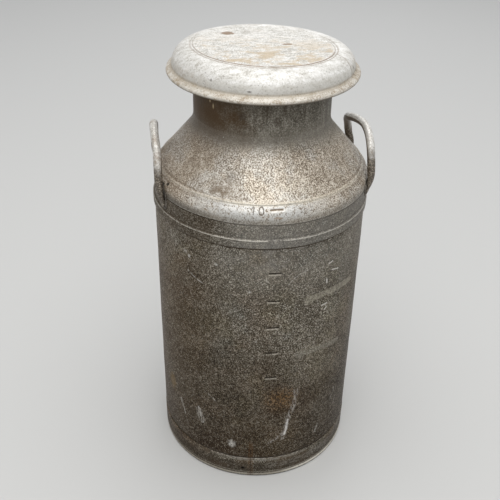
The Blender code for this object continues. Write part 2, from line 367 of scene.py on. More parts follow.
def dent(azimuth, height, middle, middle_z, half_width, half_height):
    """A round dent, 1 at its middle."""
    across = np.radians(azimuth - middle) * BODY_R
    return bump(np.hypot(across / half_width, (height - middle_z) / half_height), 1.0)


BODY_DENTS = (               # depth, azimuth, height, half width and half height
    (0.0012, -22.0, 0.075, 0.012, 0.016),
    (0.0010, -41.0, 0.112, 0.010, 0.018),
    (0.0011, 10.5, 0.118, 0.009, 0.034),
    (-0.0006, 14.5, 0.150, 0.010, 0.030),
    (0.0016, 128.0, 0.190, 0.045, 0.060),
    (0.0014, -140.0, 0.310, 0.050, 0.045),
)


def body_relief(azimuth, radius, height):
    across = np.radians(azimuth) * BODY_R
    out = 0.00045 * unevenness(azimuth, height, 0.075, 3.0)
    out += 0.00012 * unevenness(azimuth, height, 0.022, 7.0)
    out *= plateau(height - 0.28, 0.185, 0.03)
    ends = plateau(across, MARK_HALF_WIDTH - 0.0008, 0.0014)
    for mark_z in MARK_HEIGHTS:
        depth = 0.0013 if mark_z > MARK_HEIGHTS[-1] else 0.0006
        lip = 0.0005 * bump(height - mark_z + 0.0027, 0.0016)
        out -= ends * (depth * bump(height - mark_z, 0.0019) - lip)
    out -= 0.0022 * plateau(azimuth, 2.4, 1.2) * bump(height - BEAD_HIGH_Z, 0.0034)
    for depth, *place in BODY_DENTS:
        out -= depth * dent(azimuth, height, *place)
    return out, np.zeros_like(out)


def shoulder_relief(azimuth, radius, height):
    across = np.radians(azimuth) * BODY_R
    out = 0.0004 * unevenness(azimuth, height, 0.05, 11.0) * plateau(height - 0.575, 0.030, 0.02)
    on_skirt = plateau(height - 0.535, 0.011, 0.002)
    cut = plateau(across, 0.0080, 0.0040) * bump(height - TEN_MARK_Z, 0.0026)
    half_line = 0.0011
    one = BODY_R * math.radians(ONE_AZIMUTH)
    low, high = NOUGHT_Z - NOUGHT_HALF_HEIGHT, NOUGHT_Z + NOUGHT_HALF_HEIGHT
    stem = stroke(across, height, (one, low), (one, high), half_line)
    flag = stroke(across, height, (one, high), (one - 0.0022, high - 0.0018), half_line)
    aside = (across - BODY_R * math.radians(NOUGHT_AZIMUTH)) / NOUGHT_HALF_WIDTH
    ring = np.hypot(aside, (height - NOUGHT_Z) / NOUGHT_HALF_HEIGHT) - 1.0
    nought = bump(ring * (NOUGHT_HALF_WIDTH + NOUGHT_HALF_HEIGHT) / 2, half_line)
    out -= 0.0008 * on_skirt * np.maximum.reduce([cut, stem, flag, nought])
    return out, np.zeros_like(out)


def hoop_relief(azimuth, radius, height):
    across = np.radians(azimuth - HOOP_SEAM_AZIMUTH) * BODY_R
    above_roll = plateau(height - 0.028, 0.0145, 0.004)
    out = -0.0007 * bump(across, 0.0016) * above_roll + 0.0003 * bump(across - 0.0022, 0.0022) * above_roll
    out += 0.00025 * unevenness(azimuth, height, 0.06, 19.0) * above_roll
    return out, np.zeros_like(out)


def lid_relief(azimuth, radius, height):
    turn = np.radians(azimuth)
    x, y = radius * np.sin(turn), -radius * np.cos(turn)
    disc = plateau(radius, 0.088, 0.012)
    spots = np.stack([x, y, height], -1).reshape(-1, 3)
    wave = np.array([noise.noise(Vector(spot) / 0.07 + Vector((5.0, 2.0, 0.0))) for spot in spots])
    up = 0.0005 * wave.reshape(radius.shape) * disc
    along = np.clip((radius - 0.108) / 0.030, 0.0, 1.0)
    fold = np.radians(azimuth - LID_DENT_AZIMUTH - 4.0 + 6.0 * along) * radius
    on_side = plateau(radius - 0.126, 0.010, 0.007)
    press = 0.0013 * bump(fold, 0.0045) + 0.0011 * plateau(fold - 0.010, 0.006, 0.010)
    press = press - 0.0006 * bump(fold + 0.006, 0.006)
    around = 0.0003 * unevenness(azimuth, height, 0.05, 23.0) * plateau(radius - 0.124, 0.010, 0.008)
    return around - 0.75 * press * on_side, up - 0.65 * press * on_side + tilted(azimuth, radius)


def tilted(azimuth, radius):
    """The rise of the lid's top and of the pan under it, fading out towards the rim."""
    turn = np.radians(azimuth)
    inside = np.clip((0.136 - radius) / 0.030, 0.0, 1.0)
    return inside * radius * (LID_TILT[1] * np.cos(turn) - LID_TILT[0] * np.sin(turn))


def pan_relief(azimuth, radius, height):
    return 0.00012 * unevenness(azimuth, height, 0.05, 8.0), tilted(azimuth, radius)


def plain_relief(size, depth, seed):
    def relief(azimuth, radius, height):
        out = depth * unevenness(azimuth, height, size, seed)
        return out, np.zeros_like(out)
    return relief


# ---------------------------------------------------------------- materials
# Colours are in thousandths of linear light. Spots and lines on the wall are placed by azimuth in degrees and
# height in millimetres. Widths of spots and lines, and sizes of noises and dots, are in millimetres too.
# The three dark colours below serve for real dirt, pits and soot, and also for painted shade in creases,
# grooves, at joins and under the lid.
DIRT_AND_SHADE = (50, 36, 24)
PIT_AND_SHADE = (22, 16, 11)
SOOT_AND_SHADE = (36, 27, 17)
BROWN = (105, 68, 36)
CREAM = (620, 560, 450)
BARE = (620, 600, 560)


class Surface:
    """The node tree of one weathered metal, in the object's own metres."""

    def __init__(self, name):
        self.colour = None
        self.material = bpy.data.materials.new(name)
        self.material.use_nodes = True
        self.tree = self.material.node_tree
        self.shader = self.tree.nodes["Principled BSDF"]
        self.place = self.node("ShaderNodeTexCoord").outputs["Object"]
        self.x, self.y, self.z = self.node("ShaderNodeSeparateXYZ", {0: self.place}).outputs
        turn = self.math("ARCTAN2", self.x, self.math("MULTIPLY", self.y, -1))
        self.azimuth = self.math("MULTIPLY", turn, 180 / math.pi)
        self.off_front = self.math("ABSOLUTE", self.azimuth)
        self.radius = self.math("SQRT", self.add(self.times(self.x, self.x), self.times(self.y, self.y)))
        self.wall = self.node("ShaderNodeCombineXYZ", {0: self.times(turn, BODY_R), 1: self.z}).outputs[0]

    def node(self, kind, inputs=None, **settings):
        made = self.tree.nodes.new(kind)
        for key, value in settings.items():
            setattr(made, key, value)
        for key, value in (inputs or {}).items():
            self.feed(made.inputs[key], value)
        return made

    def feed(self, socket, value):
        if isinstance(value, bpy.types.NodeSocket):
            self.tree.links.new(value, socket)
        elif socket.type == "RGBA":
            socket.default_value = rgba(value)
        else:
            socket.default_value = value

    def math(self, operation, *values):
        return self.node("ShaderNodeMath", dict(enumerate(values)), operation=operation).outputs[0]

    def vector(self, operation, first, second=None, output="Vector"):
        inputs = {0: first} if second is None else {0: first, 1: second}
        return self.node("ShaderNodeVectorMath", inputs, operation=operation).outputs[output]

    def add(self, *values):
        return reduce(partial(self.math, "ADD"), values)

    def times(self, *values):
        return reduce(partial(self.math, "MULTIPLY"), values)

    def most(self, *values):
        return reduce(partial(self.math, "MAXIMUM"), values)

    def rest(self, share):
        """What a share leaves of 1."""
        return self.math("SUBTRACT", 1, share)

    def sway(self, layer, strength):
        """A noise moved to waver round 0."""
        return self.times(self.math("SUBTRACT", layer, 0.5), strength)

    def tone(self, level, *layers):
        """A level with noises laid on it, given as (noise, strength)."""
        for layer, strength in layers:
            level = self.add(level, self.sway(layer, strength))
        return level

    def moved(self, scale, shift, turn=(0.7, 0.4, 1.1)):
        """The place in the object, shifted, turned and scaled for a texture."""
        return self.node("ShaderNodeMapping", {
            "Vector": self.place, "Location": shift, "Rotation": turn, "Scale": scale,
        }).outputs[0]

    def noise(self, size, detail=3, roughness=0.55, stretch=(1, 1, 1), seed=0.0):
        """Fractal noise round 0.5, whose features are about size across, times stretch."""
        place = self.moved([1 / (size * MM * s) for s in stretch], (seed, seed * 0.7, -seed * 1.3))
        return self.node("ShaderNodeTexNoise", {
            "Vector": place, "Scale": 1, "Detail": detail, "Roughness": roughness,
        }).outputs[0]

    def dots(self, spacing, reach, seed):
        """Scattered dots, 1 at their middles."""
        place = self.moved([1 / (spacing * MM)] * 3, [seed] * 3)
        gap = self.node("ShaderNodeTexVoronoi", {"Vector": place, "Scale": 1}).outputs["Distance"]
        return self.fade(gap, 0, reach / spacing)

    def hairlines(self, size, seed):
        """Thin wandering lines."""
        wave = self.math("ABSOLUTE", self.math("SUBTRACT", self.noise(size, 4, 0.65, seed=seed), 0.5))
        return self.fade(wave, 0, 0.012)

    def slope(self, value, low, high, start, end):
        return self.node("ShaderNodeMapRange", {0: value, 1: low, 2: high, 3: start, 4: end},
                         interpolation_type="SMOOTHSTEP").outputs[0]

    def rise(self, value, low, high):
        """0 below low, 1 above high and smooth between."""
        return self.slope(value, low, high, 0, 1)

    def fade(self, value, low, high):
        """1 below low, 0 above high and smooth between."""
        return self.slope(value, low, high, 1, 0)

    def within(self, value, low, high, soft):
        """1 where value lies from low to high, with soft edges."""
        return self.times(self.rise(value, low - soft, low), self.fade(value, high, high + soft))

    def level(self, z, low, high, soft):
        """1 from low to high above the height z, with soft edges, all but z in millimetres."""
        return self.within(self.z, z + low * MM, z + high * MM, soft * MM)

    def leftwards(self, low, high, place=None):
        """1 to the left of the front, fading out again at the back."""
        place = self.azimuth if place is None else place
        return self.times(self.fade(place, low, high), self.rise(self.azimuth, -165, -105))

    def worn(self, low, high):
        """Where the edge noise, which frays scratches and rubbed edges, stands high."""
        return self.rise(self.edge, low, high)

    def at_least(self, least, mask):
        """A mask lifted to run from least to 1."""
        return self.add(least, self.times(mask, 1 - least))

    def blend(self, *layers):
        """The sum of layers, given as (layer, strength)."""
        return self.add(*(self.times(*layer) for layer in layers))

    def patches(self, low, high, *layers):
        """Patches where the layered noises, given as (noise, strength), stand high."""
        return self.rise(self.tone(0.5, *layers), low, high)

    def ragged(self, mask, noise, share=0.5):
        """Breaks up a mask's edges with noise."""
        return self.rise(self.add(mask, self.sway(noise, 2 * share)), 0.35, 0.75)

    def line(self, half_width, *points):
        """A scratch through points on the wall."""
        spots = [Vector((math.radians(a) * BODY_R, z * MM, 0.0)) for a, z in points]
        gaps = []
        for start, end in zip(spots[:-1], spots[1:]):
            run = end - start
            here = self.vector("SUBTRACT", self.wall, start)
            share = self.vector("DOT_PRODUCT", here, run / run.length_squared, "Value")
            share = self.math("MINIMUM", self.math("MAXIMUM", share, 0), 1)
            foot = self.node("ShaderNodeVectorMath", {0: run, "Scale": share}, operation="SCALE").outputs[0]
            gaps.append(self.vector("DISTANCE", here, foot, "Value"))
        return self.fade(reduce(partial(self.math, "MINIMUM"), gaps), half_width * 0.3 * MM, half_width * MM)

    def lines(self, *lines):
        return self.most(*(self.line(*line) for line in lines))

    def oval(self, place, middle, halves):
        """1 at the middle of an oval, falling to 0 at its edge."""
        here = self.vector("SUBTRACT", place, middle)
        here = self.vector("MULTIPLY", here, [1 / (half * MM) for half in halves] + [0])
        return self.fade(self.vector("LENGTH", here, output="Value"), 0, 1)

    def spot(self, azimuth, height, *halves):
        """A round patch on the wall, with its half width and half height."""
        return self.oval(self.wall, (math.radians(azimuth) * BODY_R, height * MM, 0), halves)

    def spots(self, *spots):
        return self.most(*(self.spot(*spot) for spot in spots))

    def disc_spot(self, x, y, *halves):
        """A round patch on a flat face, seen from above."""
        return self.oval(self.place, (x * MM, y * MM, 0), halves)

    def mix(self, share, first, second, blend="MIX"):
        made = self.node("ShaderNodeMix", {0: share, 6: first, 7: second}, data_type="RGBA", blend_type=blend)
        return made.outputs[2]

    def ramp(self, value, *stops):
        """Colours for a value from 0 to 1, given as (value, colour)."""
        made = self.node("ShaderNodeValToRGB", {0: value})
        elements = made.color_ramp.elements
        while len(elements) < len(stops):
            elements.new(0.5)
        for element, (place, colour) in zip(elements, stops):
            element.position = place
            element.color = rgba(colour)
        return made.outputs[0]

    def paint(self, over, strength, *masks):
        """Lays a colour over the surface where all the masks are 1."""
        self.colour = self.mix(self.times(strength, *masks), self.colour, over)

    def soak(self, tint, strength, *masks):
        """Darkens the surface by a tint where all the masks are 1."""
        self.colour = self.mix(self.times(strength, *masks), self.colour, tint, "MULTIPLY")

    def finish(self, roughness, height, metallic, depth, specular=0.5):
        """Connects the shader. depth, in millimetres, is that of the bumps at a height of 1."""
        self.feed(self.shader.inputs["Base Color"], self.colour)
        self.feed(self.shader.inputs["Roughness"], roughness)
        self.shader.inputs["Metallic"].default_value = metallic
        self.shader.inputs["Specular IOR Level"].default_value = specular
        bumps = self.node("ShaderNodeBump", {"Strength": 1, "Distance": depth * MM, "Height": height})
        self.feed(self.shader.inputs["Normal"], bumps.outputs[0])
        return self.material


def rgba(colour):
    return [share / 1000 for share in colour] + [1]


def body_metal():
    s = Surface("aged_body")
    s.grain = s.noise(1.9, 1, 0.6)
    s.grit = s.noise(6, 3, 0.6, seed=3)
    s.cloud = s.noise(50, 4, 0.6, seed=5)
    s.edge = s.noise(4.5, 3, 0.75, seed=21)
    tone = s.tone(0.47, (s.grain, 2.7), (s.grit, 0.8), (s.cloud, 0.45), (s.noise(160, 3, 0.5, seed=9), 0.4))
    s.colour = s.ramp(tone, (0, (28, 22, 15)), (0.45, (122, 103, 76)), (0.72, (236, 213, 174)),
                      (1, (520, 495, 440)))
    body_stains(s)
    crease_shade = body_seams(s)
    body_smears(s)
    cuts = body_scratches(s)
    s.paint((460, 430, 370), 0.65, s.dots(8, 1.6, 2), s.rise(s.cloud, 0.40, 0.56))
    s.paint((400, 370, 310), 0.50, s.dots(5.2, 1.5, 12), s.rise(s.grit, 0.40, 0.54))
    s.paint((330, 300, 250), 0.55, s.hairlines(20, 41), s.rise(s.grit, 0.42, 0.60))
    s.paint((300, 270, 220), 0.50, s.hairlines(11, 47), s.rise(s.cloud, 0.42, 0.58))
    pits = s.dots(8, 1.5, 5)
    s.paint(PIT_AND_SHADE, 0.75, pits)
    streak = s.ragged(s.times(s.within(s.azimuth, -10.9, -9, 1.1), s.fade(s.z, 0.060, 0.105)), s.edge, 0.6)
    s.paint((90, 46, 18), 0.48, streak)
    s.paint(PIT_AND_SHADE, 0.95, s.line(1.4, (-10, 64.5), (-10, 56.5)))
    gallon_marks(s)
    rough = s.add(0.44, s.times(s.rest(tone), 0.16), s.times(crease_shade, 0.15))
    relief = s.blend((s.grain, 0.5), (s.grit, 0.5), (pits, -0.4), (cuts, -0.5))
    return s.finish(rough, relief, 0.45, 0.30, specular=0.14)


def body_stains(s):
    """Three drifts of hue, browns towards the sides and the foot, painted shade on the foot and sides, pale
    flecks, painted light and sheen on the front and right, and two patches of rust.
    """
    for tint, size, seed, low in (((1000, 900, 840), 90, 61, 0.50), ((1000, 980, 840), 75, 67, 0.51),
                                  ((860, 930, 1000), 85, 71, 0.51)):
        s.soak(tint, 0.5, s.rise(s.noise(size, 3, 0.6, seed=seed), low, low + 0.10))
    brown = s.noise(70, 4, 0.6, seed=14)
    aside = s.most(s.fade(s.azimuth, -48, -16), s.rise(s.azimuth, 26, 60))
    low = s.fade(s.z, 0.06, 0.34)
    s.paint((78, 50, 27), 0.50, s.patches(0.44, 0.62, (brown, 1), (s.grain, 0.9)),
            s.most(low, s.times(aside, 0.8)))
    # Painted shade: the colour darkens towards the foot, and on both sides below the middle of the wall.
    s.soak((400, 330, 250), 1, s.fade(s.add(s.z, s.sway(s.cloud, 0.10)), 0.05, 0.40))
    s.soak((740, 680, 600), 1, aside, s.fade(s.z, 0.36, 0.50))
    s.paint(BROWN, 0.30, s.leftwards(-75, -28))
    s.paint((330, 300, 250), 0.62, s.rise(s.grain, 0.58, 0.68), s.most(low, aside), s.rise(s.grit, 0.36, 0.52))
    # Painted light: a paler field with a sheen facing the front high up, and a paler band across the front and
    # right under the raised band.
    s.paint((215, 212, 205), 0.45, s.spot(-3, 462, 110, 52), s.rise(s.cloud, 0.36, 0.56))
    s.paint((290, 272, 235), 0.26, s.within(s.azimuth, -12, 56, 26), s.rise(s.z, 0.35, 0.45),
            s.fade(s.z, 0.470, 0.480))
    s.paint((250, 125, 32), 0.72, s.spot(6, 180, 44, 36), s.patches(0.42, 0.66, (s.grit, 0.9), (s.grain, 0.9)))
    s.paint((200, 130, 50), 0.5, s.ragged(s.spot(-67, 150, 20, 34), s.edge, 0.9))


def body_seams(s):
    """The raised band's top edge, worn and painted as a highlight, painted shade in its corners, under the
    skirt and over the hoop, and the band painted lighter at the front and right and darker to the left.
    """
    near_nine = s.within(s.azimuth, -3.6, 3.8, 1.8)
    # Painted highlight, partly worn: a bright line along the raised band's top edge, left out where the
    # nine-gallon mark flattens it.
    s.paint((640, 610, 540), 0.88, s.times(s.level(BEAD_HIGH_Z, 0, 0.4, 0.6), s.rest(near_nine)),
            s.worn(0.30, 0.54))
    # Painted shade: dark lines in the corners below and above the raised band and under the skirt's edge, which
    # also roughen these places.
    crease_shade = s.most(s.level(BEAD_LOW_Z, -3.4, -1.4, 1), s.level(SEAM_Z, -2.2, 0, 0.8),
                     s.times(s.level(BEAD_HIGH_Z, 2.2, 3, 0.8), s.math("SUBTRACT", 0.8, near_nine)))
    s.paint(DIRT_AND_SHADE, 0.85, crease_shade)
    on_band = s.within(s.z, BEAD_LOW_Z + 0.001, SEAM_Z - 0.002, 0.002)
    # Painted light on the band's front and right, and the band darker towards the left.
    s.paint((235, 228, 210), 0.45, on_band, s.within(s.azimuth, -14, 70, 20))
    s.paint(SOOT_AND_SHADE, 0.42, on_band, s.leftwards(-40, -14))
    # Painted shade: a dark line just above the hoop, where the wall meets it.
    s.paint(DIRT_AND_SHADE, 0.65, s.level(HOOP_Z, 0, 3, 5))
    return crease_shade


def body_smears(s):
    """Two smears of old paint and loose flecks of a label's backing."""
    torn = s.noise(8, 4, 0.75, stretch=(1, 1, 0.5), seed=31)
    dense = s.at_least(0.55, s.patches(0.38, 0.62, (s.grit, 1), (s.grain, 0.7)))
    upper = s.most(s.line(9.8, (19.5, 377), (30, 378.5), (52, 373.5)), s.spot(20, 376.5, 20, 18.5))
    lower = s.most(s.line(8, (18, 272), (29, 269.5), (44, 263)), s.spot(16.5, 271.5, 20, 16))
    s.paint((355, 328, 260), 0.66, dense, s.ragged(upper, torn, 0.60))
    s.paint((310, 292, 245), 0.54, dense, s.ragged(lower, torn, 0.70))
    flecks = s.lines((2.2, (30.6, 397), (30.2, 404)), (1.8, (33.6, 417.5), (38.4, 414)),
                     (2, (31, 431.5), (33.5, 433.5)), (2.2, (28.2, 356), (31.6, 356.6)),
                     (2, (30.4, 346), (31.6, 348.6)))
    s.paint(BARE, 0.85, s.ragged(flecks, s.edge, 0.8))


def body_scratches(s):
    """Scratches, rubbed places, the gouge low on the right with its bright core, and chips.

    Returns the scratches and the core, which are cut into the metal.
    """
    scratches = s.lines(
        (1.7, (-48, 414), (-43.8, 407), (-41.3, 403.4), (-38.4, 401)),
        (1.4, (-36.1, 176.2), (-33, 171), (-31.6, 166)),
        (1.4, (7, 412.7), (10.5, 424), (17.5, 434)),
        (1.4, (44, 138), (43.2, 126)),
        (1.6, (48.8, 126), (47.6, 110)),
        (1.4, (46.3, 152), (45.8, 143)),
        (2.6, (32.8, 90), (31, 74)),
    )
    s.paint(BARE, 0.44, scratches, s.worn(0.38, 0.56))
    combed = s.noise(3, 3, 0.75, stretch=(1, 1, 4), seed=51)
    rubs = s.most(s.line(8.5, (-43, 130), (-41, 108)), s.spots((-21.3, 76, 12, 15), (-42, 119, 10, 10)),
                  s.line(3, (-58, 128), (-54.5, 100)))
    s.paint((420, 400, 365), 0.80, s.rise(rubs, 0.10, 0.60), s.rise(combed, 0.44, 0.58))
    gouge = s.lines(
        (6, (15.3, 194), (15.1, 176), (14, 158), (12.6, 148)),
        (6, (12.6, 148), (11.4, 134), (10.6, 118), (9.3, 90)),
        (3.4, (10.7, 112), (8.2, 102), (4.6, 90), (0.8, 81)),
        (2.2, (9.7, 97), (8.4, 92), (8, 86)),
    )
    s.paint((420, 395, 370), 0.72, gouge, s.rise(combed, 0.46, 0.58))
    core = s.line(3, (11.2, 130), (10.9, 120), (10.5, 108), (9.7, 97))
    s.paint((720, 700, 680), 0.85, core, s.worn(0.34, 0.52))
    chips = s.spots((-49.3, 446.5, 5.6, 4.6), (-47, 441, 3.8, 5), (-30.4, 442.5, 4.6, 3.6),
                    (-8.7, 306.4, 1.8, 3.4), (-12.5, 401.5, 4, 3.4), (-41.9, 121, 4.6, 9), (-43, 134, 3, 6),
                    (-21.6, 74, 8, 11), (8.6, 98, 5, 6), (53, 470, 3, 3.4), (47.5, 457, 3.4, 2.8),
                    (49.5, 449, 2.2, 5))
    s.paint(BARE, 0.85, chips, s.worn(0.34, 0.54))
    return s.most(scratches, core)


def gallon_marks(s):
    """Painted shade in the pressed lines, with a painted highlight, partly rubbed, on the lip under each."""
    dark = s.most(*(s.level(z, -0.2, 1.8, 0.9) for z in MARK_HEIGHTS))
    light = s.most(*(s.level(z, -3, -1.6, 0.9) for z in MARK_HEIGHTS))
    on_mark = s.within(s.azimuth, -2.9, 2.9, 0.7)
    # Painted highlight, partly worn, on the lip under each line; painted shade in the lines below it.
    s.paint((400, 370, 310), 0.70, light, on_mark, s.worn(0.34, 0.54))
    s.paint(PIT_AND_SHADE, 0.95, dark, on_mark)


def shoulder_metal():
    s = Surface("aged_shoulder")
    s.grain = s.noise(1.9, 1, 0.6, seed=2)
    s.grit = s.noise(6.5, 3, 0.6, seed=6)
    s.cloud = s.noise(45, 4, 0.6, seed=8)
    s.edge = s.noise(4.5, 3, 0.75, seed=21)
    # front lightens the tone on the shoulder's front: painted light, standing in for the sky's reflection
    # there.
    front = s.times(s.within(s.azimuth, -34, 10, 30), s.fade(s.z, 0.560, 0.605))
    tone = s.add(s.tone(0.56, (s.grain, 2.9), (s.grit, 0.8), (s.cloud, 0.8)), s.times(front, 0.13))
    s.colour = s.ramp(tone, (0, (120, 92, 66)), (0.40, (300, 258, 208)), (0.68, (470, 430, 370)),
                      (1, (740, 710, 650)))
    high = s.add(s.z, s.sway(s.cloud, 0.020), s.times(s.off_front, 0.0001))
    s.paint((210, 150, 95), 0.26, s.leftwards(-70, -25))
    s.soak((1000, 940, 860), 0.8, s.rise(s.noise(60, 3, 0.6, seed=38), 0.44, 0.58))
    smudge = s.noise(16, 4, 0.65, seed=33)
    stained = s.most(s.spot(-31, 556, 62, 26), s.times(s.spot(-52, 586, 90, 36), 0.7),
                     s.times(s.spot(44, 578, 90, 36), 0.3))
    s.paint((165, 118, 72), 0.85, stained, s.rise(smudge, 0.34, 0.62))
    dull = s.spots((-26.6, 575, 18, 10), (-11, 585, 20, 10))
    s.paint((170, 150, 125), 0.60, dull, s.rise(smudge, 0.38, 0.60))
    s.paint(neck_colour(s), 0.95, s.rise(high, 0.592, 0.626))
    rubbed_turn_sheen = skirt_wear(s)
    ten_mark(s)
    blobs = s.spots((-69, 536, 8, 6.6), (-70.5, 527, 7, 10), (-65, 541, 6, 4.4), (67.5, 525, 8, 9))
    s.paint(PIT_AND_SHADE, 0.92, s.ragged(blobs, s.edge, 0.6))
    s.paint((720, 690, 620), 0.50, s.dots(8.5, 1.4, 2), s.rise(s.cloud, 0.42, 0.60))
    pits = s.dots(8, 1.4, 5)
    s.paint((90, 68, 48), 0.70, pits)
    rough = s.add(0.42, s.times(s.rest(tone), 0.14), s.times(rubbed_turn_sheen, -0.06))
    relief = s.blend((s.grain, 0.4), (s.grit, 0.4), (pits, -0.4))
    return s.finish(rough, relief, 0.45, 0.26)


def skirt_wear(s):
    """The rubbed turn into the skirt, also painted as a sheen, which is returned, the skirt darker under it and
    more so on the left, a crest with dirt beside it, and the skirt's worn lower edge painted as a highlight.
    """
    # The turn is worn, and painted light as a grey-white sheen on its front.
    rubbed_turn_sheen = s.times(s.within(s.azimuth, -20, 2, 40), s.within(s.z, 0.5300, 0.5440, 0.0070))
    s.paint((640, 640, 620), 0.80, rubbed_turn_sheen, s.patches(0.22, 0.56, (s.grit, 1.2), (s.grain, 0.8)))
    # The skirt painted darker under the turn, more so towards the left.
    low_skirt = s.fade(s.z, 0.5225, 0.5340)
    s.paint((170, 160, 140), 0.58, low_skirt)
    s.paint(SOOT_AND_SHADE, 0.50, low_skirt, s.leftwards(-46, -16))
    at_front = s.fade(s.off_front, 18, 62)
    crest = s.times(s.level(CREASE_Z, -1.6, 1.8, 1.4), s.worn(0.26, 0.56))
    s.paint(CREAM, 0.62, crest, s.at_least(0.35, at_front))
    beside = s.most(s.level(CREASE_Z, 3, 4.4, 1.2), s.level(CREASE_Z, -4.2, -3, 1.2))
    s.paint((150, 105, 65), 0.45, beside, s.rest(at_front))
    # The skirt's lower edge, worn and painted as a highlight.
    s.paint((480, 455, 400), 0.45, s.level(SEAM_Z, -1, 0.6, 0.7), s.worn(0.42, 0.56))
    return rubbed_turn_sheen


def ten_mark(s):
    """The stamped number ten and the mark beside it, with a rust stain below."""
    one = s.lines((1.2, (ONE_AZIMUTH, 535.4), (ONE_AZIMUTH, 544.4)), (1, (ONE_AZIMUTH, 544.4), (-12.4, 542.8)))
    across = s.math("DIVIDE", s.add(s.azimuth, -NOUGHT_AZIMUTH), math.degrees(NOUGHT_HALF_WIDTH / BODY_R))
    up = s.math("DIVIDE", s.math("SUBTRACT", s.z, NOUGHT_Z), NOUGHT_HALF_HEIGHT)
    ring = s.math("SQRT", s.add(s.times(across, across), s.times(up, up)))
    s.paint((140, 110, 80), 0.80, s.most(one, s.within(ring, 0.88, 1.12, 0.18)), s.worn(0.30, 0.48))
    mark = TEN_MARK_Z / MM
    s.paint(BARE, 0.75, s.line(3.4, (-3.4, mark), (3.6, mark)))
    s.paint((150, 105, 62), 0.95, s.line(1.7, (-3.2, mark), (-1, mark + 0.3), (2.8, mark + 0.2)))
    s.paint((330, 210, 120), 0.55, s.ragged(s.spot(0.2, 530.5, 12, 3.2), s.edge, 0.6))


def neck_colour(s):
    """The tones of the neck, which run on over the top of the shoulder."""
    under = s.colour
    streaks = s.noise(7, 4, 0.6, stretch=(1, 1, 6), seed=3.5)
    cloud = s.noise(30, 4, 0.65, seed=8.5)
    tone = s.tone(0.50, (s.noise(2, 1, 0.6, seed=2.5), 1.9), (streaks, 0.9), (cloud, 1.1))
    s.colour = s.ramp(tone, (0, (50, 42, 30)), (0.5, (146, 132, 106)), (1, (330, 310, 265)))
    s.paint((250, 228, 188), 0.55, s.fade(s.z, 0.612, 0.650))
    s.paint((72, 38, 13), 0.92, s.leftwards(-50, 4, s.add(s.azimuth, s.sway(cloud, 60))),
            s.at_least(0.45, s.rise(s.z, 0.605, 0.650)))
    runs = s.rise(s.noise(5, 3, 0.6, stretch=(1, 1, 10), seed=7.5), 0.52, 0.66)
    s.paint(DIRT_AND_SHADE, 0.60, runs, s.rise(s.z, 0.630, 0.672))
    # Painted shade: darker towards the top of the neck, under the lid.
    s.paint(SOOT_AND_SHADE, 0.50, s.rise(s.z, 0.645, 0.690))
    s.paint(DIRT_AND_SHADE, 0.55, s.ragged(s.spots((-24, 655, 20, 14), (3, 650, 14, 12)), cloud, 0.9))
    s.paint(DIRT_AND_SHADE, 0.60, s.dots(12, 1.8, 3))
    made, s.colour = s.colour, under
    return made


def neck_metal():
    s = Surface("aged_neck")
    s.colour = neck_colour(s)
    s.paint((540, 430, 260), 0.80, s.spots((-50.4, 661, 3.6, 6), (-54, 667, 3, 3)))
    grain = s.noise(2.2, 1, 0.6, seed=2.5)
    return s.finish(s.add(0.56, s.times(grain, -0.08)), grain, 0.45, 0.14, specular=0.25)


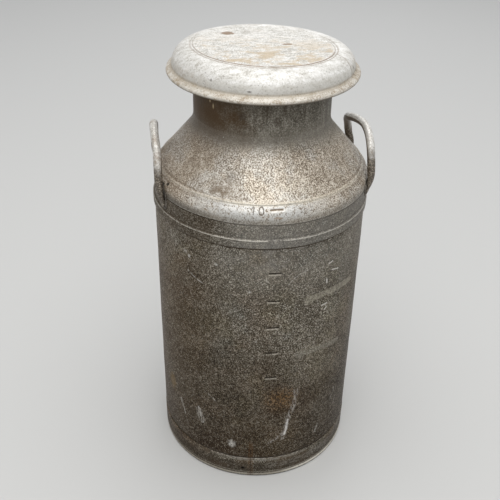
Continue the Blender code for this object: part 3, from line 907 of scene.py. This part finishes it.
def hoop_metal():
    s = Surface("aged_hoop")
    grain = s.noise(2, 1, 0.6, seed=1)
    cloud = s.noise(26, 4, 0.65, stretch=(1, 1, 0.5), seed=4)
    s.edge = s.noise(6, 3, 0.75, seed=21)
    tone = s.tone(0.46, (grain, 3), (cloud, 1.1))
    s.colour = s.ramp(tone, (0, (24, 18, 12)), (0.45, (100, 80, 55)), (0.75, (205, 180, 142)),
                      (1, (440, 410, 350)))
    s.paint(BROWN, 0.5, s.rise(s.noise(50, 4, 0.6, seed=14), 0.46, 0.62))
    s.paint(SOOT_AND_SHADE, 0.50, s.level(0, 10, 28, 10))
    s.soak((660, 540, 420), 1, s.leftwards(-70, -14))
    lip = s.times(s.level(HOOP_Z, -3, 1, 4), s.within(s.azimuth, -12, 2, 34))
    s.paint((360, 340, 300), 0.62, lip, s.worn(0.34, 0.60))
    # Painted highlight, partly worn: bright lines along the roll's edges, brighter to the right, and a white
    # highlight low on the right.
    ridges = s.most(s.level(0, 3.6, 7, 1), s.times(s.level(0, 10.4, 11.4, 1), 0.45))
    s.paint((620, 580, 490), 0.90, ridges, s.worn(0.20, 0.44), s.at_least(0.55, s.rise(s.azimuth, 0, 30)))
    rubbed = s.times(s.level(0, 4.2, 8, 1.2), s.rise(s.azimuth, 2, 26), s.fade(s.azimuth, 90, 130))
    s.paint((780, 745, 670), 0.90, rubbed, s.worn(0.26, 0.48))
    # Painted shade: a dark line along the very bottom, where the roll turns under.
    s.paint(PIT_AND_SHADE, 0.85, s.fade(s.z, 0.0018, 0.0032))
    s.paint((330, 310, 270), 0.50, s.level(0, 22, 30, 5), s.within(s.azimuth, 8, 48, 10),
            s.rise(s.noise(9, 4, 0.75, stretch=(1, 1, 0.3), seed=9), 0.46, 0.60))
    seam = s.within(s.azimuth, HOOP_SEAM_AZIMUTH - 1.4, HOOP_SEAM_AZIMUTH + 1.2, 1.1)
    s.paint((115, 56, 18), 0.48, seam, s.worn(0.40, 0.60))
    crack = s.within(s.azimuth, HOOP_SEAM_AZIMUTH - 0.3, HOOP_SEAM_AZIMUTH + 0.3, 0.25)
    s.paint(PIT_AND_SHADE, 0.40, crack, s.worn(0.36, 0.50))
    s.paint(PIT_AND_SHADE, 0.75, s.ragged(s.spot(DRAIN_AZIMUTH, DRAIN_Z / MM, 7, 5.6), s.edge, 0.7))
    pits = s.dots(8, 1.5, 5)
    s.paint(PIT_AND_SHADE, 0.70, pits)
    rough = s.add(0.46, s.times(s.rest(tone), 0.16))
    return s.finish(rough, s.blend((grain, 0.6), (pits, -0.5)), 0.50, 0.30, specular=0.25)


def lid_metal():
    s = Surface("aged_lid")
    s.grain = s.noise(1.9, 1, 0.6, seed=1.2)
    s.brush = s.noise(3, 4, 0.70, stretch=(5, 1.2, 3), seed=2.2)
    s.cloud = s.noise(45, 4, 0.6, seed=3.2)
    s.patch = s.noise(12, 4, 0.75, stretch=(1.8, 1, 1), seed=5.2)
    s.disc = s.fade(s.radius, 0.100, 0.104)
    mottle = s.noise(8, 3, 0.65, stretch=(2, 1, 1), seed=6.2)
    on_disc = s.at_least(0.45, s.disc)
    tone = s.tone(0.53, (s.grain, s.times(on_disc, 2.4)), (s.brush, s.times(on_disc, 2.2)), (mottle, 1.4),
                  (s.cloud, 0.8))
    s.colour = s.ramp(tone, (0, (350, 325, 280)), (0.45, (610, 597, 562)), (1, (810, 802, 784)))
    toward_front = s.fade(s.add(s.y, s.sway(s.cloud, 0.12)), -0.050, 0.070)
    tan = s.times(s.disc, s.patches(0.36, 0.78, (s.patch, 1.5), (s.brush, 1.2), (mottle, 1.2), (s.cloud, 1.8)))
    s.paint((460, 360, 230), 0.82, tan, s.at_least(0.16, toward_front))
    lid_rings(s)
    specks = lid_specks(s)
    lid_knocks(s)
    rough = s.add(0.54, s.times(s.rest(tone), 0.14), s.times(tan, 0.06))
    relief = s.blend((s.grain, 0.25), (s.brush, s.math("SUBTRACT", on_disc, 0.40), 0.6), (specks, -0.5))
    return s.finish(rough, relief, 0.28, 0.15)


def lid_rings(s):
    """Dirt along both sides of the groove and on the flange, painted shade above the flange, in the valley and
    under the roll, and browner sides.
    """
    rings = s.most(s.within(s.radius, LID_GROOVE_R - 0.0028, LID_GROOVE_R - 0.0016, 0.0012),
                   s.within(s.radius, LID_GROOVE_R + 0.0020, LID_GROOVE_R + 0.0030, 0.0012))
    s.paint((240, 168, 110), 0.88, rings, s.rise(s.z, LID_DISC_Z - 0.008, LID_DISC_Z - 0.006),
            s.rise(s.noise(12, 4, 0.7, seed=8.2), 0.26, 0.46), s.fade(s.off_front, 20, 140))
    flange = s.fade(s.z, 0.7005, 0.7035)
    s.paint((560, 510, 420), 0.45, flange)
    s.paint((270, 200, 125), 0.75, flange, s.patches(0.44, 0.78, (s.patch, 1.6), (s.grain, 1.6)))
    s.paint((180, 132, 85), 0.65, flange, s.dots(4.6, 1.5, 14))
    # Painted shade: a greyer band on the dome's foot, just above the valley.
    s.paint((520, 500, 450), 0.55, s.within(s.z, 0.7030, 0.7110, 0.0040))
    sides = s.most(s.fade(s.azimuth, -72, -20), s.rise(s.azimuth, 45, 90))
    s.paint((400, 325, 230), 0.36, sides, s.fade(s.z, 0.708, 0.722), s.rise(s.patch, 0.40, 0.62))
    # Painted shade in the valley between the dome and the flange.
    s.paint((380, 330, 255), 0.55, s.within(s.radius, LID_SIDE_R + 0.0004, LID_SIDE_R + 0.0020, 0.0016), flange)
    # Painted shade under the roll.
    s.paint((130, 102, 70), 0.80, s.within(s.z, 0.6868, 0.6905, 0.0014))


def lid_specks(s):
    """Dots and hairlines of dirt. Returns the darkest, which are pitted."""
    specks = s.times(s.dots(6.2, 1.2, 4), s.rise(s.noise(40, 2, seed=7.2), 0.40, 0.56))
    s.paint((100, 85, 70), 0.85, specks)
    flecks = s.times(s.dots(4, 1.1, 6), s.rise(s.noise(30, 3, seed=17.2), 0.42, 0.56))
    s.paint((170, 140, 105), 0.75, flecks, s.rest(s.times(s.disc, 0.5)))
    s.paint((230, 180, 125), 0.70, s.dots(16, 2.6, 9), s.rise(s.patch, 0.42, 0.56))
    s.paint((240, 190, 140), 0.60, s.hairlines(22, 27), s.rise(s.cloud, 0.48, 0.60),
            s.rise(s.patch, 0.45, 0.60))
    return specks


def lid_knocks(s):
    """Nicks on the side, two marks on the disc and brown dirt with painted shade in the fold of the dent."""
    nicks = s.spots((66.2, 708, 3.6, 4.6), (71.5, 700, 4, 3.4), (65, 699, 3, 3.4), (-40.6, 712.5, 3, 2.6),
                    (-16.3, 705, 6, 2))
    s.paint((70, 55, 40), 0.90, nicks, s.rise(s.radius, 0.120, 0.125))
    marks = s.most(s.disc_spot(34, 2, 16, 7), s.disc_spot(-47, 60, 18, 18))
    s.paint((200, 118, 55), 0.85, s.disc, s.rise(s.tone(marks, (s.brush, 1.2), (s.patch, 1)), 0.34, 0.60))
    along = s.math("DIVIDE", s.math("SUBTRACT", s.radius, 0.108), 0.030)
    middle = s.math("SUBTRACT", LID_DENT_AZIMUTH + 4, s.times(along, 6))
    fold = s.math("ABSOLUTE", s.math("SUBTRACT", s.azimuth, middle))
    # Brown dirt with painted shade along the fold of the dent.
    s.paint((200, 140, 90), 0.75, s.fade(fold, 0, 1.6), s.within(s.radius, 0.112, 0.136, 0.003),
            s.rise(s.patch, 0.32, 0.50))


def handle_metal(side):
    """Bright where hands wear it, the right one paler as painted light, painted shade on the undersides and the
    side towards the can, and dark down the back leg and the beaten legs.
    """
    is_left = side == "left"
    s = Surface(f"aged_handle_{side}")
    grain = s.noise(2, 2, 0.65, seed=1.7)
    cloud = s.noise(14, 4, 0.65, seed=3.7)
    # The right handle gets a paler tone and less brown: less brown is cleaner metal, the paler tone is painted
    # light standing in for the sky's reflection.
    tone = s.tone(0.54 if is_left else 0.66, (grain, 1.6), (cloud, 1.1))
    s.colour = s.ramp(tone, (0, (230, 198, 155)), (0.5, (540, 520, 475)), (1, (880, 870, 845)))
    s.paint((220, 150, 90), 0.50 if is_left else 0.25, s.rise(s.noise(18, 4, 0.65, seed=5.7), 0.50, 0.62))
    # Painted shade: dark brown on the rod's undersides and on its side towards the can, found from the way each
    # face points; the back leg is dark too.
    facing = s.node("ShaderNodeTexCoord").outputs["Normal"]
    face_x, _, face_z = s.node("ShaderNodeSeparateXYZ", {0: facing}).outputs
    inward = s.times(face_x, 1 if is_left else -1)
    hidden = s.most(s.times(s.rise(inward, 0.10, 0.75), s.fade(face_z, 0.05, 0.50)),
                    s.fade(face_z, -0.75, -0.15))
    back_leg = s.times(s.rise(s.y, 0.036, 0.058), s.fade(s.z, 0.580, 0.596))
    s.paint((85, 58, 36), 0.86, s.ragged(s.most(hidden, back_leg), cloud, 0.5))
    worn_to = 0.560 if is_left else 0.572
    low = s.fade(s.add(s.z, s.sway(cloud, 0.04)), worn_to - 0.014, worn_to + 0.012)
    s.paint((66, 49, 33), 0.94, low)
    s.paint((340, 300, 240), 0.75, low, s.rise(s.noise(2.4, 1, 0.6, seed=12.7), 0.52, 0.62))
    s.paint(CREAM, 0.55, low, s.dots(6, 1.8, 8))
    pits = s.dots(6.5, 1.3, 2)
    s.paint(DIRT_AND_SHADE, 0.75, pits)
    rough = s.add(0.40, s.times(low, 0.16), s.times(s.rest(tone), 0.12))
    return s.finish(rough, s.blend((grain, 0.6), (pits, -0.5)), 0.28, 0.30)


def small_metal(name, dark, light, metallic, size=3.0):
    """Plain weathered metal for wires, weld beads and the hidden faces."""
    s = Surface(name)
    grain = s.noise(size, 3, 0.65, seed=1.1)
    tone = s.tone(0.5, (grain, 1.4), (s.noise(size * 8, 4, 0.6, seed=4.1), 0.9))
    s.colour = s.ramp(tone, (0.15, dark), (0.85, light))
    return s.finish(s.add(0.42, s.times(s.rest(tone), 0.18)), grain, metallic, 0.3)


# ---------------------------------------------------------------- pieces of the can
def make_body(material):
    lap_r = SKIRT_R - WALL - GAP
    outside = rounded([
        (lap_r, body_high.z),
        (lap_r, SEAM_Z - 0.0004, 0.0006),
        (BODY_R, SEAM_Z - 0.0022, 0.0010),
        (BODY_R, BEAD_HIGH_Z + 0.0021, 0.0012),
        (BEAD_R, BEAD_HIGH_Z, 0.0011),
        (BEAD_R - 0.0002, BEAD_LOW_Z, 0.0013),
        (BODY_R, BEAD_LOW_Z - 0.0020, 0.0013),
        (BODY_R, 0.300, 0.5),
        (BODY_FOOT_R, HOOP_Z + 0.0032, 0.002),
        (HOOP_TOP_R - HOOP_SHEET - GAP, HOOP_Z + 0.0008, 0.001),
        (BODY_EDGE_R, body_low.z),
    ])

    def near_mark(start, end):
        low, high = sorted((start[1], end[1]))
        return any(low - 0.004 < z < high + 0.004 for z in MARK_HEIGHTS)

    section = sheet_section(finer(fine(outside, 0.0065), 0.0007, near_mark), WALL)
    turns = azimuths((-4.6, 4.6, 0.35), (7.0, 17.0, 1.0), (-24.5, -19.0, 1.0), (-44.0, -38.5, 1.0))
    turned("body_skin", section, "can", "body_shell", material, turns, body_relief)


def make_shoulder(material):
    slope = Vector((CREASE_R - NECK_R, CREASE_Z - KNEE_Z)).normalized()
    normal = Vector((-slope.y, slope.x))
    crease = Vector((CREASE_R, CREASE_Z))
    turn_z = CREASE_Z + (SKIRT_R - CREASE_R) * slope.y / slope.x
    ridge = ((-0.0030, 0.0, 0.0012), (-0.0014, 0.0007, 0.0009), (0.0, 0.0007, 0.0009),
             (0.0018, -0.0001, 0.0015))    # along the slope, off it, and the radius of the turn there
    outside = rounded([
        (NECK_R, NECK_SEAM_Z),
        (NECK_R, KNEE_Z, KNEE_TURN),
        *((*(crease + slope * along + normal * off), radius) for along, off, radius in ridge),
        (SKIRT_R, turn_z, 0.0150),
        (SKIRT_R, SEAM_Z + GAP / 2),
    ], steps=8)
    line = finer(fine(outside, 0.006), 0.0006, lambda start, end: 0.532 < end[1] < 0.547)
    section = sheet_section(line, WALL, round_ends=(False, True))
    turns = azimuths((-13.2, 5.0, 0.26))
    turned("shoulder_skin", section, "can", "shoulder", material, turns, shoulder_relief)


def make_neck(material, wire):
    roll_r = MOUTH_WIRE_R + GAP
    centre = (NECK_R + roll_r, MOUTH_Z - WALL - roll_r)
    outside = arc(centre, roll_r, -60.0, 180.0, 14) + [(NECK_R, NECK_SEAM_Z)]
    section = sheet_section(fine(outside, 0.008), WALL, round_ends=(True, False))
    turned("neck_skin", section, "can", "neck_collar", material, relief=plain_relief(0.05, 0.0001, 2.0))
    ring("mouth_wire_ring", centre, MOUTH_WIRE_R, "can", "mouth_wire", wire)


def make_foot(material, wire, floor, weld):
    outer_r = HOOP_FOOT_R - HOOP_ROLL_R
    inner_r = HOOP_FOOT_R - HOOP_ROLL_WIDTH + HOOP_ROLL_R
    roll_top = HOOP_ROLL_HEIGHT - HOOP_ROLL_R
    outside = fine([(HOOP_TOP_R, HOOP_Z), (HOOP_FOOT_R, HOOP_ROLL_R)], 0.0022)
    outside += arc((outer_r, HOOP_ROLL_R), HOOP_ROLL_R, 0.0, -90.0, 6)[1:]
    outside += arc((inner_r, HOOP_ROLL_R), HOOP_ROLL_R, 270.0, 180.0, 6)
    outside += arc((inner_r, roll_top), HOOP_ROLL_R, 180.0, 90.0, 6)
    outside.append((outer_r - 0.0015, HOOP_ROLL_HEIGHT))
    turns = azimuths((-17.5, -7.5, 0.4))
    section = sheet_section(outside, HOOP_SHEET)
    drill_hole(turned("foot_hoop_skin", section, "can", "foot_hoop", material, turns, hoop_relief))
    wire_r = (foot_wire_high.z - foot_wire_low.z) / 2
    centre = (foot_wire_high.x - wire_r, (foot_wire_high.z + foot_wire_low.z) / 2)
    ring("foot_wire_ring", centre, wire_r, "can", "foot_wire", wire)
    make_floor(floor, weld)


def make_floor(material, weld):
    """The dished floor, and the weld beads inside the shoulder's and the floor's seams."""
    rim_r = floor_high.x
    dish = [(rim_r, floor_high.z), (rim_r - 0.0005, FLOOR_TURN_Z, 0.006)]
    for share in np.linspace(1.0, 0.0, 9):
        dish.append(((rim_r - 0.007) * share, floor_low.z + FLOOR_DISH * share ** 2))
    section = sheet_section(fine(rounded(dish), 0.012), WALL, round_ends=(True, False))
    relief = plain_relief(0.06, 0.0002, 4.0)
    turned("floor_skin", section, "can", "bottom_plate", material, relief=relief)
    for name, node in (("shoulder_seam_weld", "shoulder_weld"), ("floor_seam_weld", "bottom_weld")):
        low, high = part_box(node)
        leg = high.z - low.z
        bead = rounded([(high.x, high.z), (high.x, low.z), (high.x - leg, low.z)])
        belly = (high.x - leg * 0.30, low.z + leg * 0.70)
        bead += rounded([bead[-1], (*belly, leg * 0.5), bead[0]])[1:-1]
        turned(name, bead, "can", node, weld, relief=plain_relief(0.004, 0.0001, 6.0))


def drill_hole(hoop):
    """The small drain hole, cut square through the hoop's wall."""
    shape = bmesh.new()
    bmesh.ops.create_cone(shape, cap_ends=True, segments=24, radius1=DRAIN_R, radius2=DRAIN_R, depth=0.012)
    mesh = bpy.data.meshes.new("drain_drill")
    shape.to_mesh(mesh)
    shape.free()
    drill = placed("drain_drill", mesh)
    turn = math.radians(DRAIN_AZIMUTH)
    drill.location = (HOOP_FOOT_R * math.sin(turn), -HOOP_FOOT_R * math.cos(turn), DRAIN_Z)
    drill.rotation_euler = (math.radians(90.0), 0.0, turn)
    cut = hoop.modifiers.new("drain", "BOOLEAN")
    cut.operation = "DIFFERENCE"
    cut.solver = "EXACT"
    cut.object = drill
    bpy.context.view_layer.update()
    whole = bpy.data.meshes.new_from_object(hoop.evaluated_get(bpy.context.evaluated_depsgraph_get()))
    hoop.modifiers.clear()
    hoop.data = whole
    bpy.data.objects.remove(drill)


# ---------------------------------------------------------------- handles
def smooth_value(pairs, place):
    """The value at place on a smooth line through pairs of place and value."""
    places, values = zip(*pairs)
    last = len(pairs) - 1
    slopes = []
    for i in range(len(pairs)):
        before, after = max(i - 1, 0), min(i + 1, last)
        slopes.append((values[after] - values[before]) / (places[after] - places[before]))
    i = max(k for k in range(last) if places[k] <= place)
    width = places[i + 1] - places[i]
    t = (place - places[i]) / width
    return ((1 + 2 * t) * (1 - t) ** 2 * values[i] + t ** 2 * (3 - 2 * t) * values[i + 1]
            + width * t * (1 - t) * ((1 - t) * slopes[i] - t * slopes[i + 1]))


def handle_path(side, end_z, stand_out, steps=72):
    """Up the front leg, over the arch and down the back leg, with the beaten ends laid on the skirt."""
    path = []
    for i in range(-4, steps + 5):
        turn = min(180.0, max(0.0, 180.0 * i / steps))
        below = max(0, -i, i - steps) / 4
        y = -HANDLE_HALF_WIDTH * math.cos(math.radians(turn))
        z = HANDLE_ARCH_Z + HANDLE_ARCH_HEIGHT * math.sin(math.radians(turn))
        place = Vector((side * smooth_value(stand_out, turn), y, z + (end_z - z) * below))
        off_wall = Vector((place.x, place.y, 0.0))
        laid = off_wall.normalized() * (SKIRT_R + foot_depth(place.z, end_z) - 0.0002)
        path.append(place + (laid - off_wall) * foot_share(place.z, end_z))
    return path


def foot_share(z, end_z):
    """How far the rod is beaten flat: 1 at its end, 0 above the skirt."""
    return float(eased((HANDLE_FLAT_Z - z) / (HANDLE_FLAT_Z - end_z)))


def foot_depth(z, end_z):
    return HANDLE_ROD_R * (1.0 - 0.62 * foot_share(z, end_z))


def make_handles(weld):
    for name, side, low, bend in (("left", -1, left_low, LEFT_BEND), ("right", 1, right_low, RIGHT_BEND)):
        def outline(share, here, end_z=low.z):
            tip = min(1.0, (here.z - end_z) / 0.008 + 0.55)
            width = HANDLE_ROD_R * (1.0 + 0.16 * foot_share(here.z, end_z))
            return width * tip, foot_depth(here.z, end_z) * tip

        swept(f"handle_{name}_rod", handle_path(side, low.z, bend), outline, "can", f"handle_{name}",
              handle_metal(name))
        for place, end in (("front", -1), ("back", 1)):
            make_weld(f"weld_{name}_{place}", side, end, low.z, weld)


def make_weld(node, side, end, end_z, material):
    """A lumpy bead round the foot of a leg, in the corner between the rod and the wall."""
    turn = math.atan2(HANDLE_HALF_WIDTH, HANDLE_X)
    half = HANDLE_ROD_R * 1.16 + 0.0004
    low = end_z - 0.0014
    corners = [(-half, WELD_TOP_Z), (-half, low, 0.0055), (half, low, 0.0055), (half, WELD_TOP_Z)]
    outline = rounded(corners, steps=8)
    path = []
    for offset, z in fine(outline, 0.0012):
        radius = SKIRT_R + 0.0006 - 0.0002 * (z < SEAM_Z)
        angle = end * (turn + offset / radius)
        path.append((side * radius * math.cos(angle), radius * math.sin(angle), z))

    def lumps(share, here):
        size = 0.0017 + 0.0009 * noise.noise(here / 0.0035 + Vector((3.0, 1.0, 2.0)))
        taper = min(1.0, 0.35 + 6.0 * min(share, 1.0 - share))
        return size * 1.15 * taper, size * taper

    swept(f"{node}_bead", path, lumps, "can", node, material, sides=10)


# ---------------------------------------------------------------- lid
def make_lid(material, wire):
    groove_in = LID_GROOVE_R - LID_GROOVE_HALF_WIDTH
    groove_out = LID_GROOVE_R + LID_GROOVE_HALF_WIDTH
    disc = [(0.0, LID_TOP_Z)]
    for i in range(1, 13):
        share = i / 12
        r = groove_in * share - 0.0006 * (i == 12)
        disc.append((r, LID_TOP_Z - 0.0009 * max(0.0, share * 2.0 - 1.0)))
    outside = disc + rounded([
        disc[-1],
        (groove_in, LID_DISC_Z, 0.0004),
        (groove_in + 0.0008, LID_DISC_Z - 0.0012, 0.0004),
        (LID_GROOVE_R - 0.0010, LID_DISC_Z - 0.0003, 0.0006),
        (LID_GROOVE_R + 0.0010, LID_DISC_Z - 0.0003, 0.0006),
        (groove_out - 0.0008, LID_DISC_Z - 0.0012, 0.0004),
        (groove_out, LID_DISC_Z - 0.0001, 0.0004),
        (groove_out + 0.003, LID_DISC_Z - 0.0002),
    ], steps=3)[1:-1]
    for i in range(1, 21):
        turn = math.radians(90.0 * i / 20)
        outside.append((groove_out + (LID_SIDE_R - groove_out) * math.sin(turn),
                        LID_VALLEY_Z + (LID_DISC_Z - LID_VALLEY_Z) * math.cos(turn)))
    centre = (LID_RIM_R - LID_ROLL_R, LID_ROLL_Z)
    roll = arc(centre, LID_ROLL_R, 55.0, -190.0, 20)
    valley = (LID_SIDE_R + 0.0003, LID_VALLEY_Z - 0.0016, 0.0022)
    outside += rounded([outside[-1], valley, roll[0]])[1:-1]
    outside += roll
    section = sheet_section(outside, LID_SHEET, round_ends=(False, True))
    turned("lid_skin", section, "lid", "lid_cap", material, azimuths((50.0, 76.0, 0.8)), lid_relief)
    wire_r = (lid_wire_high.z - lid_wire_low.z) / 2
    ring("lid_rim_wire_ring", centre, wire_r, "lid", "lid_rim_wire", wire, steps=12)


def make_pan(material):
    """The pan under the lid, which hangs in the mouth."""
    outside = rounded([
        (pan_high.x, pan_high.z),
        (PAN_TOP_R, pan_high.z, 0.0036),
        (PAN_FOOT_R, PAN_CORNER_Z, 0.0050),
        (0.0, pan_low.z + LID_SHEET),
    ], steps=6)
    section = sheet_section(fine(outside, 0.012), LID_SHEET, round_ends=(True, False))
    turned("lid_pan_skin", section, "lid", "lid_pan", material, relief=pan_relief)


# ---------------------------------------------------------------- stage, lights and camera
def make_stage():
    half = 7.0
    mesh = bpy.data.meshes.new("studio_floor")
    corners = [(-half, -half, 0.0), (half, -half, 0.0), (half, half, 0.0), (-half, half, 0.0)]
    mesh.from_pydata(corners, [], [(0, 1, 2, 3)])
    paper = bpy.data.materials.new("studio_paper")
    paper.use_nodes = True
    shader = paper.node_tree.nodes["Principled BSDF"]
    shader.inputs["Base Color"].default_value = (0.56, 0.56, 0.55, 1.0)
    shader.inputs["Roughness"].default_value = 0.9
    mesh.materials.append(paper)
    placed("studio_floor", mesh)


def area_light(name, place, aim, size, power, colour):
    lamp = bpy.data.lights.new(name, "AREA")
    lamp.shape = "DISK"
    lamp.size = size
    lamp.energy = power
    lamp.color = colour
    holder = placed(name, lamp)
    holder.location = place
    holder.rotation_euler = (Vector(aim) - Vector(place)).to_track_quat("-Z", "Y").to_euler()


def make_lights():
    middle = (0.0, 0.0, 0.4)
    area_light("sky_softbox", (0.0, -0.3, 3.4), middle, 3.6, 72.0, (1.0, 0.99, 0.97))
    area_light("front_softbox", (-0.55, -2.5, 2.9), middle, 3.4, 29.0, (1.0, 0.99, 0.97))
    area_light("back_softbox", (0.8, 3.0, 2.2), middle, 2.0, 12.0, (0.96, 0.98, 1.0))
    world = bpy.data.worlds.new("studio")
    world.use_nodes = True
    world.node_tree.nodes["Background"].inputs[0].default_value = (0.97, 0.98, 1.0, 1.0)
    world.node_tree.nodes["Background"].inputs[1].default_value = 0.60
    bpy.context.scene.world = world
    bpy.context.scene.view_settings.view_transform = "Standard"


def make_camera():
    place = Vector((-0.1745, -1.1175, 1.0860))
    aim = Vector((-0.0141, 0.0, 0.3672))
    lens = bpy.data.cameras.new("photographer")
    lens.sensor_width = 36.0
    lens.lens = 56.28
    lens.shift_y = 0.0037
    lens.clip_start = 0.05
    lens.clip_end = 60.0
    camera = placed("photographer", lens)
    camera.location = place
    look = (aim - place).to_track_quat("-Z", "Y")
    camera.rotation_mode = "QUATERNION"
    camera.rotation_quaternion = look @ Quaternion((0.0, 0.0, 1.0), math.radians(1.21))
    bpy.context.scene.camera = camera


make_stage()
make_lights()
make_camera()

wire_metal = small_metal("aged_wire", (150, 130, 105), (500, 475, 430), 0.6)
weld_metal = small_metal("aged_weld", (40, 30, 22), (300, 270, 230), 0.5, 2.2)
inner_metal = small_metal("aged_floor", (170, 160, 145), (480, 465, 435), 0.6, 4.5)
pan_metal = small_metal("aged_pan", (300, 285, 255), (640, 620, 580), 0.65, 4.0)

make_body(body_metal())
make_shoulder(shoulder_metal())
make_neck(neck_metal(), wire_metal)
make_foot(hoop_metal(), wire_metal, inner_metal, weld_metal)
make_handles(weld_metal)
make_lid(lid_metal(), wire_metal)
make_pan(pan_metal)
